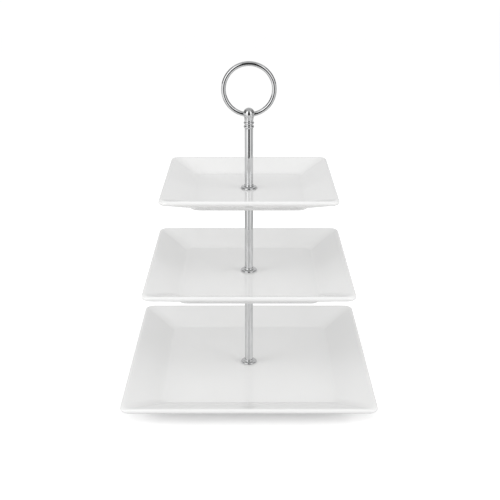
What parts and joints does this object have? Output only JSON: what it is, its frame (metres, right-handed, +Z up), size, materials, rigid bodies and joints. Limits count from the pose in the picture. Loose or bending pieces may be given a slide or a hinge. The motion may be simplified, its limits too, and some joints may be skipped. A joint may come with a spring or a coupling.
{
  "type": "tiered cake stand",
  "caption": "Tiered serving stand with square sloping-bordered porcelain plates on a screwed chrome column with a ring handle.",
  "frame": {"origin": "on the table, under the column's axis, level with the bottom plate's foot", "axes": "+Z up along the column, -Y towards the front, +X along the ring's width"},
  "size_m": [0.264, 0.264, 0.3538],
  "materials": {
    "porcelain": "glossy white glaze",
    "chrome": "polished chrome plate",
    "steel": "zinc-plated steel",
    "rubber": "translucent white rubber",
    "brass": "plain turned brass"
  },
  "bodies": {
    "bottom_tray": {"bottom_plate": "porcelain"},
    "base_fastener": {"base_bolt": "steel", "base_washer": "steel", "bottom_under_gasket": "rubber"},
    "bottom_collar_set": {"bottom_collar": "chrome", "bottom_upper_gasket": "rubber"},
    "bottom_column": {"bottom_rod": "chrome", "bottom_rod_lower_insert": "brass", "bottom_rod_upper_insert": "brass", "middle_support_washer": "steel", "middle_under_gasket": "rubber"},
    "middle_tray": {"middle_plate": "porcelain"},
    "middle_collar_set": {"middle_collar": "chrome", "middle_upper_gasket": "rubber"},
    "middle_column": {"middle_rod": "chrome", "middle_rod_lower_insert": "brass", "middle_rod_upper_insert": "brass", "middle_stud": "steel", "top_support_washer": "steel", "top_under_gasket": "rubber"},
    "top_tray": {"top_plate": "porcelain"},
    "top_collar_set": {"top_collar": "chrome", "top_upper_gasket": "rubber"},
    "handle": {"top_rod": "chrome", "top_rod_lower_insert": "brass", "top_rod_upper_insert": "brass", "top_stud": "steel", "finial": "chrome", "handle_ring": "chrome"}
  },
  "joints": [
    {"name": "column_turn", "type": "hinge", "parent": "bottom_tray", "child": "base_fastener", "pos_m": [0, 0, 0.01], "axis": [0, 0, 1], "continuous": true},
    {"name": "bottom_rod_unscrew", "type": "hinge", "parent": "base_fastener", "child": "bottom_collar_set", "pos_m": [0, 0, 0.0118], "axis": [0, 0, 1], "range_deg": [0, 3601]},
    {"name": "bottom_rod_lift", "type": "slide", "parent": "bottom_collar_set", "child": "bottom_column", "axis": [0, 0, 1], "range_m": [0, 0.008]},
    {"name": "middle_plate_turn", "type": "hinge", "parent": "bottom_column", "child": "middle_tray", "pos_m": [0, 0, 0.12335], "axis": [0, 0, 1], "continuous": true},
    {"name": "middle_rod_unscrew", "type": "hinge", "parent": "bottom_column", "child": "middle_collar_set", "pos_m": [0, 0, 0.12515], "axis": [0, 0, 1], "range_deg": [0, 3601]},
    {"name": "middle_rod_lift", "type": "slide", "parent": "middle_collar_set", "child": "middle_column", "axis": [0, 0, 1], "range_m": [0, 0.008]},
    {"name": "top_plate_turn", "type": "hinge", "parent": "middle_column", "child": "top_tray", "pos_m": [0, 0, 0.2187], "axis": [0, 0, 1], "continuous": true},
    {"name": "top_rod_unscrew", "type": "hinge", "parent": "middle_column", "child": "top_collar_set", "pos_m": [0, 0, 0.2205], "axis": [0, 0, 1], "range_deg": [0, 3601]},
    {"name": "top_rod_lift", "type": "slide", "parent": "top_collar_set", "child": "handle", "axis": [0, 0, 1], "range_m": [0, 0.008]}
  ],
  "couplings": [
    {"joint": "bottom_rod_unscrew", "follows": "bottom_rod_lift", "rad_per_m": 7854},
    {"joint": "middle_rod_unscrew", "follows": "middle_rod_lift", "rad_per_m": 7854},
    {"joint": "top_rod_unscrew", "follows": "top_rod_lift", "rad_per_m": 7854}
  ]
}
